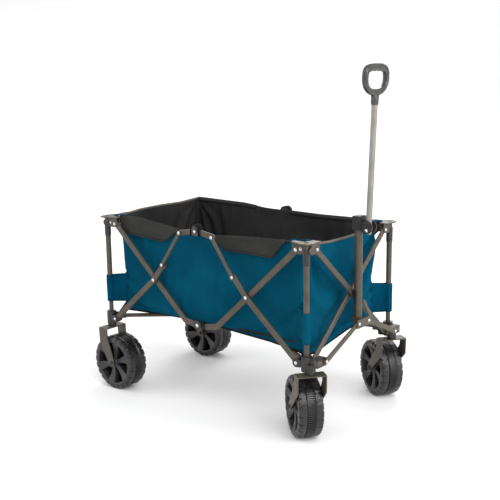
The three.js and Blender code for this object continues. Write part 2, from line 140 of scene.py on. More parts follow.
def woven(name, dark, light, pitch=1.1, rough=0.9, sheen=0.0, depth=0.5):
    """Polyester canvas: warp and weft as two crossed waves, uneven dye, a soft sheen and fine creases."""
    mat, tree, bsdf = new_material(name)
    coords, tex, ramp = mottle(tree, 9.0, dark, light, 6.0)
    bsdf.inputs["Roughness"].default_value = rough
    bsdf.inputs["Sheen Weight"].default_value = sheen
    bsdf.inputs["Sheen Roughness"].default_value = 0.45
    bsdf.inputs["Specular IOR Level"].default_value = 0.04
    turns = (0.0, 0.0, 0.0), (0.0, math.pi / 2, 0.0)
    waves = []
    for turn in turns:
        tilt = node(tree, "ShaderNodeMapping")
        tilt.inputs["Rotation"].default_value = (turn[0], turn[1] + math.radians(2), math.radians(45))
        wave = node(tree, "ShaderNodeTexWave", Scale=1000.0 / pitch / 20.0 * 3.1416, Distortion=0.4)
        tree.links.new(coords.outputs["Object"], tilt.inputs["Vector"])
        tree.links.new(tilt.outputs["Vector"], wave.inputs["Vector"])
        waves.append(wave)
    cloth = node(tree, "ShaderNodeMath", operation="MULTIPLY")
    tree.links.new(waves[0].outputs["Fac"], cloth.inputs[0])
    tree.links.new(waves[1].outputs["Fac"], cloth.inputs[1])
    shade = node(tree, "ShaderNodeMixRGB", blend_type="MULTIPLY", Fac=0.35)
    tree.links.new(ramp.outputs["Color"], shade.inputs["Color1"])
    tree.links.new(cloth.outputs["Value"], shade.inputs["Color2"])
    lift = node(tree, "ShaderNodeMixRGB", blend_type="MIX", Fac=0.55)
    tree.links.new(shade.outputs["Color"], lift.inputs["Color1"])
    tree.links.new(ramp.outputs["Color"], lift.inputs["Color2"])
    tree.links.new(lift.outputs["Color"], bsdf.inputs["Base Color"])
    creases = node(tree, "ShaderNodeTexNoise", Scale=38.0, Detail=5.0, Distortion=0.7)
    tree.links.new(coords.outputs["Object"], creases.inputs["Vector"])
    soft = bump(tree, creases.outputs["Fac"], 0.25, 0.004)
    weave = bump(tree, cloth.outputs["Value"], depth, 0.0004, soft)
    tree.links.new(weave.outputs["Normal"], bsdf.inputs["Normal"])
    return mat


def bright_metal(name, colour, rough):
    mat, tree, bsdf = new_material(name)
    coords, tex, ramp = mottle(tree, 60.0, tuple(c * 0.85 for c in colour), colour)
    tree.links.new(ramp.outputs["Color"], bsdf.inputs["Base Color"])
    bsdf.inputs["Metallic"].default_value = 1.0
    bsdf.inputs["Roughness"].default_value = rough
    scratch = node(tree, "ShaderNodeTexNoise", Scale=1500.0, Detail=2.0)
    tree.links.new(coords.outputs["Object"], scratch.inputs["Vector"])
    fine = bump(tree, scratch.outputs["Fac"], 0.2, 0.0002)
    tree.links.new(fine.outputs["Normal"], bsdf.inputs["Normal"])
    return mat


STEEL = painted_metal("paint_taupe", (0.058, 0.048, 0.036), (0.078, 0.066, 0.050), 0.40, 0.20)
PLASTIC = moulded("plastic_black", (0.008, 0.008, 0.009), (0.014, 0.014, 0.015), 0.42)
POLE = painted_metal("paint_pole", (0.22, 0.205, 0.18), (0.28, 0.262, 0.235), 0.34, 0.45)
GRIP = moulded("grip_charcoal", (0.026, 0.026, 0.025), (0.042, 0.042, 0.040), 0.20, 1400.0, 0.10)
TREAD = moulded("tread_rubber", (0.008, 0.008, 0.009), (0.014, 0.014, 0.015), 0.32, 900.0, 0.2)
RIM = moulded("rim_plastic", (0.014, 0.014, 0.015), (0.024, 0.024, 0.025), 0.46)
BLUE = woven("canvas_blue", (0.0, 0.054, 0.098), (0.0005, 0.070, 0.122))
# Darker blue for the post sleeves that face away from the light: painted shade on the same canvas as the
# plain blue sleeve
BLUE_SHADED_SLEEVE = woven("canvas_blue_painted_shade", (0.0, 0.040, 0.082), (0.0, 0.056, 0.105), 0.9)
GREY = woven("canvas_grey", (0.029, 0.029, 0.028), (0.040, 0.040, 0.038), 0.9)
LINER = woven("liner_charcoal", (0.022, 0.022, 0.023), (0.034, 0.034, 0.035), 0.8, 0.8, 0.0)
BINDING = woven("binding_taupe", (0.110, 0.098, 0.086), (0.150, 0.136, 0.120), 0.6)
WEBBING = woven("webbing_black", (0.008, 0.008, 0.009), (0.016, 0.016, 0.017), 1.6, 0.8, 0.0, 0.8)
ZINC = bright_metal("zinc_rivet", (0.66, 0.66, 0.65), 0.3)


def set_material(obj, *materials):
    obj.data.materials.clear()
    for mat in materials:
        obj.data.materials.append(mat)


# ---- mesh helpers ----
def make(name, verts, faces, material, body=None, smooth=True):
    """A mesh piece from wagon millimetres, with its material, riding on a CAD body."""
    mesh = bpy.data.meshes.new(name)
    mesh.from_pydata(row(verts).tolist(), [], [list(f) for f in faces])
    mesh.validate()
    mesh.update()
    obj = bpy.data.objects.new(name, mesh)
    bpy.context.scene.collection.objects.link(obj)
    set_material(obj, material)
    if smooth:
        mesh.shade_smooth()
    if body:
        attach(obj, body)
    return obj


def add_modifier(obj, kind, **values):
    mod = obj.modifiers.new(kind.lower(), kind)
    for key, value in values.items():
        setattr(mod, key, value)
    return mod


def bake(obj):
    """Applies the modifiers of a piece to its mesh."""
    depsgraph = bpy.context.evaluated_depsgraph_get()
    mesh = bpy.data.meshes.new_from_object(obj.evaluated_get(depsgraph))
    obj.modifiers.clear()
    obj.data = mesh
    return obj


def face_out(obj):
    """Turns every face of a closed piece outwards."""
    fix = bmesh.new()
    fix.from_mesh(obj.data)
    bmesh.ops.recalc_face_normals(fix, faces=fix.faces)
    fix.to_mesh(obj.data)
    fix.free()


def frame_along(tangent):
    up = Vector((0, 0, 1)) if abs(tangent.z) < 0.95 else Vector((1, 0, 0))
    side = tangent.cross(up).normalized()
    return side, side.cross(tangent).normalized()


def tube(name, path, radius, material, body, sides=12, flat=1.0, closed_ends=True):
    """A round or flattened tube along a path in wagon millimetres."""
    pts = [Vector(p) for p in path]
    verts, faces = [], []
    for i, p in enumerate(pts):
        tangent = (pts[min(i + 1, len(pts) - 1)] - pts[max(i - 1, 0)]).normalized()
        side, up = frame_along(tangent)
        for k in range(sides):
            a = 2 * math.pi * k / sides
            verts.append(p + side * math.cos(a) * radius * flat + up * math.sin(a) * radius)
    for i in range(len(pts) - 1):
        for k in range(sides):
            a, b = i * sides + k, i * sides + (k + 1) % sides
            faces.append((a, b, b + sides, a + sides))
    if closed_ends:
        faces.append(tuple(range(sides - 1, -1, -1)))
        faces.append(tuple(range((len(pts) - 1) * sides, len(pts) * sides)))
    return make(name, verts, faces, material, body)


def lathe(name, profile, matrix, material, body, sides=32, smooth=True):
    """A profile of (radius, height) turned about local Z and placed by a matrix in wagon millimetres."""
    verts, faces = [], []
    n = len(profile)
    for k in range(sides):
        a = 2 * math.pi * k / sides
        for r, z in profile:
            verts.append(matrix @ Vector((r * math.cos(a), r * math.sin(a), z)))
    for k in range(sides):
        for i in range(n - 1):
            a, b = k * n + i, ((k + 1) % sides) * n + i
            faces.append((a, b, b + 1, a + 1))
    obj = make(name, verts, faces, material, body, smooth)
    add_modifier(obj, "WELD", merge_threshold=1e-5)
    bake(obj)
    return obj


def facing(point, axis):
    """A matrix that puts local Z along an axis at a point."""
    z = Vector(axis).normalized()
    rotation = z.to_track_quat("Z", "Y").to_matrix().to_4x4()
    return Matrix.Translation(Vector(point)) @ rotation


def rivet(name, point, axis, body, radius=4.4, material=None):
    """A dome-headed rivet on a thin washer."""
    dome = [(0, 3.4)]
    dome += [(radius * 0.92 * math.sin(t), 0.9 + 2.5 * math.cos(t)) for t in np.linspace(0.25, 1.45, 6)]
    washer = [(radius * 0.94, 0.9), (radius * 1.32, 0.9), (radius * 1.38, 0.5)]
    washer += [(radius * 1.38, -0.6), (0, -0.6)]
    profile = dome + washer
    return lathe(name, profile, facing(point, axis), material or ZINC, body, 20)


# ---- CAD nodes that keep their shape ----
def dress_cad():
    for name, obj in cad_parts.items():
        if name.startswith(("bag_", "floor_left", "floor_right", "wheel_", "grip")):
            continue
        if name.startswith(("hub_", "mid_block", "mast_collar", "handle_latch")):
            set_material(obj, PLASTIC)
            width = 0.0012
        elif name.startswith("pole_"):
            set_material(obj, POLE)
            width = 0.0012
        else:
            set_material(obj, STEEL)
            width = 0.0012
        obj.data.shade_smooth()
        if name.startswith(("fork", "hub", "post_upper", "mast", "handle", "top_rail", "mid_block")):
            add_modifier(obj, "BEVEL", width=width, segments=2, limit_method="ANGLE",
                         angle_limit=math.radians(35))
        add_modifier(obj, "EDGE_SPLIT", split_angle=math.radians(38))


# ---- the bag ----
NEAR_TOP = [(-406, 631), (-304, 628), (-200, 616), (-119, 607), (-60, 603), (60, 603), (119, 608), (197, 613),
            (317, 617), (406, 624)]
FAR_TOP = [(-406, 647), (-167, 643), (-60, 634), (60, 632), (178, 630), (331, 632), (406, 626)]
FRONT_TOP = [(-205, 622), (-137, 609), (-67, 604), (18, 604), (88, 606), (150, 611), (205, 624)]
REAR_TOP = [(-205, 632), (-108, 641), (0, 643), (102, 641), (205, 647)]
NEAR_LOW = [(-406, 286), (-220, 297), (-98, 302), (0, 303), (149, 294), (274, 289), (392, 276), (406, 268)]
FAR_LOW = [(-406, 290), (0, 302), (406, 296)]
FRONT_LOW = [(-205, 264), (-142, 262), (-65, 277), (22, 292), (94, 302), (205, 298)]
REAR_LOW = [(-205, 288), (0, 300), (205, 292)]


def table_at(table, t):
    return float(np.interp(t, [a for a, _ in table], [b for _, b in table]))


def bag_edge(x, y, low):
    """Height of the bag's rim or hem above a point of its plan outline."""
    if abs(y) >= BAG_Y - 0.01 or abs(abs(x) - BAG_X) > abs(abs(y) - BAG_Y):
        chosen = (NEAR_LOW if low else NEAR_TOP) if y < 0 else (FAR_LOW if low else FAR_TOP)
        return table_at(chosen, x)
    chosen = (FRONT_LOW if low else FRONT_TOP) if x > 0 else (REAR_LOW if low else REAR_TOP)
    return table_at(chosen, y)


def bag_outline():
    """The bag's plan outline as (x, y, outward x, outward y), counter-clockwise from the rear near corner."""
    radius, out = 14.0, []
    nx, ny, nc = 96, 48, 4
    corners = [(-1, -1), (1, -1), (1, 1), (-1, 1)]
    for i, (sx, sy) in enumerate(corners):
        cx, cy = sx * (BAG_X - radius), sy * (BAG_Y - radius)
        start = math.atan2(sy, sx) - math.pi / 4
        for k in range(nc):
            a = start + math.pi / 2 * k / nc
            out.append((cx + radius * math.cos(a), cy + radius * math.sin(a), math.cos(a), math.sin(a)))
        a = start + math.pi / 2
        x0, y0 = cx + radius * math.cos(a), cy + radius * math.sin(a)
        tx, ty = corners[(i + 1) % 4]
        x1, y1 = tx * (BAG_X - radius), ty * (BAG_Y - radius)
        x1, y1 = x1 + radius * math.cos(a), y1 + radius * math.sin(a)
        n = nx if i % 2 == 0 else ny
        for k in range(n):
            t = k / n
            out.append((x0 + (x1 - x0) * t, y0 + (y1 - y0) * t, math.cos(a), math.sin(a)))
    return out


ROWS = 40
CLOTH_FRAMES = 24
CLOTH_REACH = 0.015


SIDE_RIDES = {
    "near": ("upper_rl", (1, 0, 0), (-POST_X, -BAG_Y, 450), 0.489),
    "far": ("upper_rr", (1, 0, 0), (-POST_X, BAG_Y, 450), 0.489),
    "front": ("upper_fl", (0, 1, 0), (BAG_X, -POST_Y, 450), 0.521),
    "rear": ("upper_rl", (0, 1, 0), (-BAG_X, -POST_Y, 450), 0.521),
}


def pleat(x, y, z, top):
    """Outward push of the gathers that fan out from each top corner, in millimetres."""
    total = 0.0
    for sx, sy in CORNERS.values():
        along = abs(x - sx * BAG_X) + abs(y - sy * BAG_Y)
        down = top - z
        reach = math.hypot(along, down)
        angle = math.atan2(down, along + 1e-6)
        strength = math.exp(-((reach - 100) / 120) ** 2) * min(1.0, reach / 40)
        on_end = abs(abs(x) - BAG_X) < 2
        size = (15.0 if x > 0 else 11.0) if on_end else (4.6 if y < 0 else 9.0)
        lean = 0.5 * math.sin(reach * 0.03 + sx * 2 + sy)
        fan = math.sin(angle * 13 + lean * 3 + sx + 2 * sy)
        total += size * strength * fan * math.sin(min(angle * 2, math.pi)) ** 0.5
    return total


def build_bag():
    outline = bag_outline()
    n = len(outline)
    verts, faces, pins, sides = [], [], [], []
    for r in range(ROWS + 1):
        v = r / ROWS
        for x, y, ox, oy in outline:
            low, top = bag_edge(x, y, True), bag_edge(x, y, False)
            z = low + (top - low) * v
            push = pleat(x, y, z, top) * math.sin(math.pi * min(1, max(0, v))) ** 0.4
            wander = 5.0 * noise.noise(Vector((x / 90, y / 90, z / 110))) * math.sin(math.pi * v)
            verts.append((x + ox * (push + wander), y + oy * (push + wander), z))
            corner = abs(abs(x) - BAG_X) < 15 and abs(abs(y) - BAG_Y) < 15
            strap = corner and 318 < z < 418
            pins.append(1.0 if r in (0, ROWS) or strap else 0.0)
    for r in range(ROWS):
        for k in range(n):
            a, b = r * n + k, r * n + (k + 1) % n
            faces.append((a, b, b + n, a + n))
            x, y = outline[k][0], outline[k][1]
            x2, y2 = outline[(k + 1) % n][0], outline[(k + 1) % n][1]
            mx, my = (x + x2) / 2, (y + y2) / 2
            if abs(my) > BAG_Y - 14 and abs(mx) <= BAG_X:
                sides.append("near" if my < 0 else "far")
            else:
                sides.append("front" if mx > 0 else "rear")
    return verts, faces, pins, sides


def simulate_bag(obj, pins, frames):
    """Lets the canvas buckle under its own weight between its sewn edges, then freezes it."""
    group = obj.vertex_groups.new(name="pin")
    for i, w in enumerate(pins):
        if w > 0:
            group.add([i], w, "REPLACE")
    cloth = obj.modifiers.new("cloth", "CLOTH")
    s = cloth.settings
    s.quality = 6
    s.mass = 0.35
    s.tension_stiffness = s.compression_stiffness = 18
    s.shear_stiffness = 8
    s.bending_stiffness = 0.35
    s.tension_damping = s.compression_damping = s.shear_damping = 8
    s.vertex_group_mass = "pin"
    s.shrink_min = -0.022
    s.effector_weights.gravity = 0.7
    cloth.point_cache.frame_start = 1
    cloth.point_cache.frame_end = frames
    scene = bpy.context.scene
    scene.frame_start, scene.frame_end = 1, frames
    for f in range(1, frames + 1):
        scene.frame_set(f)
    depsgraph = bpy.context.evaluated_depsgraph_get()
    settled = obj.evaluated_get(depsgraph).to_mesh()
    moved = np.array([v.co for v in settled.vertices])
    obj.evaluated_get(depsgraph).to_mesh_clear()
    scene.frame_set(1)
    obj.modifiers.clear()
    obj.vertex_groups.clear()
    return moved


def add_bag():
    verts, faces, pins, sides = build_bag()
    whole = make("bag_whole", verts, faces, BLUE)
    before = np.array([v.co for v in whole.data.vertices])
    moved = simulate_bag(whole, pins, CLOTH_FRAMES)
    change = moved - before
    length = np.linalg.norm(change, axis=1, keepdims=True)
    change *= np.minimum(1.0, CLOTH_REACH / np.maximum(length, 1e-9))
    final = (before + change) * 1000.0 - SHIFT
    bpy.data.objects.remove(whole, do_unlink=True)
    solids = {"near": "bag_side_left", "far": "bag_side_right", "front": "bag_front", "rear": "bag_rear"}
    for side, cad in solids.items():
        body, axis, anchor, keep = SIDE_RIDES[side]
        mine = [f for f, s in zip(faces, sides) if s == side]
        used = sorted({i for f in mine for i in f})
        index = {v: i for i, v in enumerate(used)}
        obj = make(f"canvas_{side}", final[used], [[index[i] for i in f] for f in mine], BLUE)
        obj.data.materials.append(LINER)
        add_modifier(obj, "SOLIDIFY", thickness=0.0022, offset=-1.0, material_offset=1, use_rim=True)
        bake(obj)
        obj.data.shade_smooth()
        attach(obj, body)
        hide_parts(cad)
        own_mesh(obj)


def rim_path(side, low, inset=0.0):
    """Points along the bag's rim or hem on one side."""
    if side in ("near", "far"):
        y = (-BAG_Y + inset) if side == "near" else (BAG_Y - inset)
        xs = np.linspace(-BAG_X + 6, BAG_X - 6, 60)
        return [(x, y, bag_edge(x, math.copysign(BAG_Y, y), low)) for x in xs]
    x = (BAG_X - inset) if side == "front" else (-BAG_X + inset)
    ys = np.linspace(-BAG_Y + 5, BAG_Y - 5, 36)
    return [(x, y, table_at({("front", True): FRONT_LOW, ("front", False): FRONT_TOP,
                             ("rear", True): REAR_LOW, ("rear", False): REAR_TOP}[side, low], y)) for y in ys]


def gather(obj):
    """Gives a fabric piece a mesh of its own."""
    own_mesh(obj)
    return obj


def add_trims():
    for side in SIDE_RIDES:
        body = SIDE_RIDES[side][0]
        hem = tube(f"hem_{side}", rim_path(side, True), 3.2, WEBBING, body, 8)
        gather(hem)
        top_mat = BINDING if side in ("front", "rear") else GREY
        edge = tube(f"binding_{side}", rim_path(side, False), 4.2 if side in ("front", "rear") else 3.0,
                    top_mat, body, 10)
        gather(edge)


FLAPS = {
    "rear": [(-404, 0.0), (-398, 26), (-380, 56), (-300, 60), (-183, 52), (-162, 42),
             (-140, 22), (-112, 0.0)],
    "front": [(48, 0.0), (66, 18), (92, 38), (112, 44), (200, 48), (284, 54), (300, 46),
              (324, 18), (340, 0.0)],
}


def add_flaps():
    """Grey flaps turned down over the rims of the long sides."""
    for side, sy in (("near", -1), ("far", 1)):
        for which, outline in FLAPS.items():
            x0, x1 = outline[0][0], outline[-1][0]
            cols, down = 64, 12
            verts, faces = [], []
            for c in range(cols + 1):
                x = x0 + (x1 - x0) * c / cols
                drop = max(table_at(outline, x), 1.5)
                top = bag_edge(x, sy * BAG_Y, False) + 4.5
                ends = min(1.0, (c / cols) * 12, (1 - c / cols) * 12)
                inside = [(-5.5, -12), (-5.2, -8), (-4.6, -4), (-3.0, -1.2), (0, 0), (3.5, -1.2), (6.5, -5)]
                for off, dz in inside:
                    verts.append((x, sy * (BAG_Y + off), top + dz))
                for k in range(1, down + 1):
                    t = k / down
                    z = top - 5 - drop * t
                    flutter = 2.2 * noise.noise(Vector((x / 70, t * 2, sy)))
                    sway = 1.6 * math.sin(x / 31 + t * 1.5) * t + flutter
                    verts.append((x + 1.5 * math.sin(t * 3 + x / 50), sy * (BAG_Y + 7.5 + 4.0 * t + sway), z))
            per = 7 + down
            for c in range(cols):
                for k in range(per - 1):
                    a, b = c * per + k, (c + 1) * per + k
                    faces.append((a, b, b + 1, a + 1))
            obj = make(f"flap_{side}_{which}", verts, faces, GREY, SIDE_RIDES[side][0])
            add_modifier(obj, "SOLIDIFY", thickness=0.0024, offset=0.0)
            bake(obj)
            obj.data.shade_smooth()
            gather(obj)
            stitch = []
            for c in range(2, cols - 1):
                x = x0 + (x1 - x0) * c / cols
                drop = max(table_at(outline, x), 1.5)
                top = bag_edge(x, sy * BAG_Y, False) + 4.5
                sway = 1.4 * math.sin(x / 31 + 1.3) + 2.2 * noise.noise(Vector((x / 70, 1.75, sy)))
                stitch.append((x, sy * (BAG_Y + 12.8 + sway), top - 5 - drop * 0.88))
            if len(stitch) > 3:
                body = SIDE_RIDES[side][0]
                seam = tube(f"flap_seam_{side}_{which}", stitch, 0.55, WEBBING, body, 6)
                gather(seam)


def add_corner_patches():
    """Blue canvas from each top bracket into the bag, and the sleeve that holds the bag to each post."""
    for key, (sx, sy) in CORNERS.items():
        verts, faces = [], []
        cols, rows_ = 12, 8
        for i in range(cols + 1):
            s = i / cols
            t = abs(2 * s - 1)
            reach = 62 * t
            if s < 0.5:
                x = sx * (BAG_X - reach)
                edge = Vector((x, sy * BAG_Y, bag_edge(x, sy * BAG_Y, False) + 2))
            else:
                y = sy * (BAG_Y - reach * 0.75)
                table = FRONT_TOP if sx > 0 else REAR_TOP
                edge = Vector((sx * BAG_X, y, table_at(table, y) + 2))
            ring = Vector((sx * (POST_X - 17 - 10 * t), sy * (POST_Y - 17 - 8 * t), 633.5))
            if s < 0.5:
                ring.x -= sx * 22 * t
            else:
                ring.y -= sy * 18 * t
            for j in range(rows_ + 1):
                w = j / rows_
                p = edge.lerp(ring, w)
                p.z += 3.0 * math.sin(math.pi * w) - 2.0 * math.sin(6.28 * s * 2) * w * (1 - w)
                verts.append(tuple(p))
        for i in range(cols):
            for j in range(rows_):
                a = i * (rows_ + 1) + j
                faces.append((a, a + rows_ + 1, a + rows_ + 2, a + 1))
        patch = make(f"corner_patch_{key}", verts, faces, BLUE, f"upper_{key}")
        add_modifier(patch, "SOLIDIFY", thickness=0.0018, offset=0.0)
        bake(patch)
        patch.data.shade_smooth()
        z0, z1 = 317.0, 417.0
        angles = np.linspace(math.radians(-45 - 60), math.radians(135 + 60), 15)
        path = [(BAG_X - 1.5, BAG_Y - 26), (BAG_X + 3, BAG_Y - 12)]
        path += [(POST_X + 12.4 * math.cos(a), POST_Y + 12.4 * math.sin(a)) for a in angles]
        path += [(BAG_X - 12, BAG_Y + 3), (BAG_X - 26, BAG_Y - 1.5)]
        verts, faces = [], []
        levels = 8
        for j in range(levels + 1):
            v = j / levels
            z = z0 + (z1 - z0) * v
            for i, (px, py) in enumerate(path):
                sag = 6.0 * math.sin(math.pi * i / (len(path) - 1)) * (0.5 - v) * 0.6
                ripple = 0.7 * noise.noise(Vector((px / 9, py / 9, z / 26)))
                verts.append((sx * (px + ripple), sy * (py + ripple), z + sag))
        m = len(path)
        for j in range(levels):
            for i in range(m - 1):
                a = j * m + i
                faces.append((a, a + 1, a + m + 1, a + m))
        # Painted shade: the front left sleeve keeps the plain blue, and the other three sleeves take the
        # darker shaded blue
        shade = BLUE_SHADED_SLEEVE if key != "fl" else BLUE
        strap = make(f"post_sleeve_{key}", verts, faces, shade, f"upper_{key}")
        add_modifier(strap, "SOLIDIFY", thickness=0.0018, offset=0.0)
        bake(strap)
        strap.data.shade_smooth()


def add_floor():
    """The padded floor: two stuffed halves with sewn channels, joined along the middle."""
    for key, sy in (("left", -1), ("right", 1)):
        nx, ny = 96, 26
        top, low = [], []
        verts, faces = [], []
        for i in range(nx + 1):
            for j in range(ny + 1):
                x = -402 + 804 * i / nx
                y = 0.1 + 199.9 * j / ny
                channel = abs(math.sin(math.pi * (x + 402) / 201.0))
                puff = 3.2 * channel ** 0.35 * max(0.0, min(1.0, math.sin(math.pi * j / ny) * 3)) ** 0.6
                puff += 0.5 * noise.noise(Vector((x / 60, y / 60, sy)))
                verts.append((x, sy * y, 304.5 + puff))
        for i in range(nx):
            for j in range(ny):
                a = i * (ny + 1) + j
                faces.append((a, a + ny + 1, a + ny + 2, a + 1))
        pad = make(f"floor_pad_{key}", verts, faces, LINER, f"floor_{key}")
        add_modifier(pad, "SOLIDIFY", thickness=0.005, offset=-1.0 if sy > 0 else 1.0)
        bake(pad)
        pad.data.shade_smooth()
        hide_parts(f"floor_{key}")
        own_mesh(pad)


# ---- wheels ----
def tread_wheel(key, centre, turn, body):
    """A wide moulded wheel: lugged shoulders with dimples, a ribbed centre band and six wedge spokes."""
    base = Matrix.Translation(Vector(centre)) @ Matrix.Rotation(turn, 4, "Z")
    base = base @ Matrix.Rotation(-math.pi / 2, 4, "X")
    half = [(79, 38.0), (82, 39.4), (86, 39.2), (90, 37.4), (94.0, 33), (96.2, 26), (96.6, 15.2),
            (94.4, 14.2), (94.2, 0)]
    carcass = [(r, -z) for r, z in half] + [(r, z) for r, z in half[-2::-1]]
    carcass += [(77, 36), (77, -36), (79, -38.0)]
    tyre = lathe(f"tyre_{key}", carcass, base, TREAD, body, 96)

    def polar(r, a, z):
        return base @ Vector((r * math.cos(a), r * math.sin(a), z))

    verts, faces = [], []

    def block(angle, width, stations, columns):
        """One tread block: stations are (axial, foot, top), columns are (share of half width, drop)."""
        start = len(verts)
        n = len(columns)
        for z, foot, top in stations:
            for share, rise in columns:
                verts.append(polar(foot + (top - foot) * rise, angle + share * width / 2, z))
        m = len(stations)
        flip = stations[-1][0] < stations[0][0]
        for i in range(m - 1):
            for j in range(n - 1):
                q = start + i * n + j
                quad = (q, q + 1, q + n + 1, q + n)
                faces.append(quad if flip else quad[::-1])
            q = start + i * n
            quad = (q + n - 1, q, q + n, q + 2 * n - 1)
            faces.append(quad if flip else quad[::-1])
        first = tuple(range(start, start + n))
        last = tuple(range(start + (m - 1) * n, start + m * n))
        faces.append(first[::-1] if flip else first)
        faces.append(last if flip else last[::-1])

    lugs = 22
    pitch = 2 * math.pi / lugs
    shoulder = [(15.6, 93.6, 97.2), (18, 93.6, 97.7), (30, 93.0, 97.6), (36, 90.0, 96.2),
                (39.6, 85.0, 91.6), (40.3, 80.2, 84.2)]
    crown = [(-1.0, 0.0), (-0.88, 0.86), (-0.5, 1.0), (0.5, 1.0), (0.88, 0.86), (1.0, 0.0)]
    centres = []
    for k in range(lugs):
        for s in (-1, 1):
            angle = pitch * (k + (0.5 if s > 0 else 0.0))
            block(angle, pitch * 0.86, [(s * z, f, t) for z, f, t in shoulder], crown)
            centres.append((angle, s * 26.5))
    ribs = 88
    for k in range(ribs):
        block(2 * math.pi * (k + 0.25) / ribs, 2 * math.pi / ribs * 0.6,
              [(-12.6, 93.8, 96.9), (-11.6, 93.8, 97.9), (11.6, 93.8, 97.9), (12.6, 93.8, 96.9)],
              [(-1.0, 0.0), (-0.7, 1.0), (0.7, 1.0), (1.0, 0.0)])
    tread = make(f"tread_{key}", verts, faces, TREAD, body)
    add_modifier(tread, "EDGE_SPLIT", split_angle=math.radians(30))

    verts, faces = [], []
    around, section = 16, 6
    for angle, z0 in centres:
        start = len(verts)
        for i in range(around):
            u = 2 * math.pi * i / around
            for j in range(section):
                v = 2 * math.pi * j / section
                ring = 6.4 + 1.3 * math.cos(v)
                along = ring * math.cos(u)
                verts.append(polar(97.3 + 0.95 * math.sin(v), angle + along / 97.5, z0 + ring * math.sin(u)))
        for i in range(around):
            for j in range(section):
                here, ahead = start + i * section, start + (i + 1) % around * section
                a, b = here + j, here + (j + 1) % section
                c, d = ahead + (j + 1) % section, ahead + j
                faces.append((a, d, c, b))
    make(f"dimples_{key}", verts, faces, TREAD, body)

    ring = [(84.5, -37), (83.5, -39.7), (80, -40.3), (77, -39.9), (75.5, -37), (74.5, -8), (74.5, 8),
            (75.5, 37), (77, 39.9), (80, 40.3), (83.5, 39.7), (84.5, 37), (84.5, -37)]
    lathe(f"rim_{key}", ring, base, RIM, body, 80)
    hub = [(7, -36.5), (13, -36.5), (15, -35), (17, -31), (19, -8), (19, 8), (17, 31),
           (15, 35), (13, 36.5), (7, 36.5), (7, -36.5)]
    lathe(f"rim_hub_{key}", hub, base, RIM, body, 48)
    verts, faces = [], []
    stations = [(15, 6.4, 32.0), (28, 8.0, 31.0), (46, 11.0, 32.0), (62, 14.5, 35.0), (76, 18.5, 39.0)]
    across_ = [(-1.0, -20.0), (-0.96, -1.6), (-0.80, 0.0), (0.80, 0.0), (0.96, -1.6), (1.0, -20.0)]
    for k in range(6):
        a0 = 2 * math.pi * k / 6 + math.radians(-20)
        for side in (-1, 1):
            start = len(verts)
            for r, w, z in stations:
                for share, drop in across_:
                    u, v = share * w, side * (z + drop)
                    x, y = r * math.cos(a0) - u * math.sin(a0), r * math.sin(a0) + u * math.cos(a0)
                    verts.append(base @ Vector((x, y, v)))
            n = len(across_)
            for i in range(len(stations) - 1):
                for j in range(n - 1):
                    q = start + i * n + j
                    quad = (q, q + n, q + n + 1, q + 1)
                    faces.append(quad if side > 0 else quad[::-1])
    spokes = make(f"rim_spokes_{key}", verts, faces, RIM, body)
    add_modifier(spokes, "EDGE_SPLIT", split_angle=math.radians(35))
    web = [(17, 9), (75, 9), (75, -9), (17, -9), (17, 9)]
    lathe(f"rim_web_{key}", web, base, PLASTIC, body, 64)
    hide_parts(f"wheel_{key}")


def add_wheels():
    for key, (centre, turn, _) in wheel_frames().items():
        tread_wheel(key, centre, turn, f"wheel_{key}")


def wheel_frames():
    out = {}
    for key in ("rl", "rr"):
        out[key] = ((-POST_X + 38, CORNERS[key][1] * POST_Y, WHEEL_R), 0.0, f"corner_{key}")
    for key, turn in (("fl", 141.4), ("fr", 147.1)):
        t = math.radians(turn)
        x, y = SWIVEL_X + CASTER_TRAIL * math.cos(t), CORNERS[key][1] * POST_Y + CASTER_TRAIL * math.sin(t)
        out[key] = ((x, y, WHEEL_R), t, f"caster_{key}")
    return out


# ---- rivets and small fittings ----
def plate(name, outline, y0, y1, material, body, width=0.0012):
    """A plate whose (x, z) outline runs from y0 to y1, with rounded edges."""
    n = len(outline)
    verts = [(x, y, z) for y in (y0, y1) for x, z in outline]
    faces = [tuple(range(n)), tuple(range(2 * n - 1, n - 1, -1))]
    faces += [(i, i + n, (i + 1) % n + n, (i + 1) % n) for i in range(n)]
    obj = make(name, verts, faces, material, body)
    face_out(obj)
    add_modifier(obj, "BEVEL", width=width, segments=3, limit_method="ANGLE", angle_limit=math.radians(40))
    bake(obj)
    add_modifier(obj, "EDGE_SPLIT", split_angle=math.radians(38))
    return obj


def add_hub_plates():
    """The ears that hold each side bar's lower pin, and the steel covers over the front hubs."""
    for key, (sx, sy) in CORNERS.items():
        turns = np.linspace(0, math.pi, 13)
        round_end = [(409 - 13.5 * math.sin(t), 256 + 13.5 * math.cos(t)) for t in turns]
        outline = round_end + [(424, 244), (430, 246.5), (430, 267), (424, 268.5)]
        plate(f"hub_cheek_{key}", [(sx * x, z) for x, z in outline], sy * 248.4, sy * 251.6, PLASTIC,
              f"corner_{key}", 0.0009)
    for key in ("fl", "fr"):
        sy = CORNERS[key][1]
        cover = [(457.5, 249.5), (477, 249.5), (484.4, 257), (484.4, 269), (479, 275.5), (457.5, 275.5)]
        plate(f"strut_bracket_{key}", cover, sy * 195.5, sy * 243.5, STEEL, f"corner_{key}",
              0.002)


def signed_power(value, power):
    return math.copysign(abs(value) ** power, value)


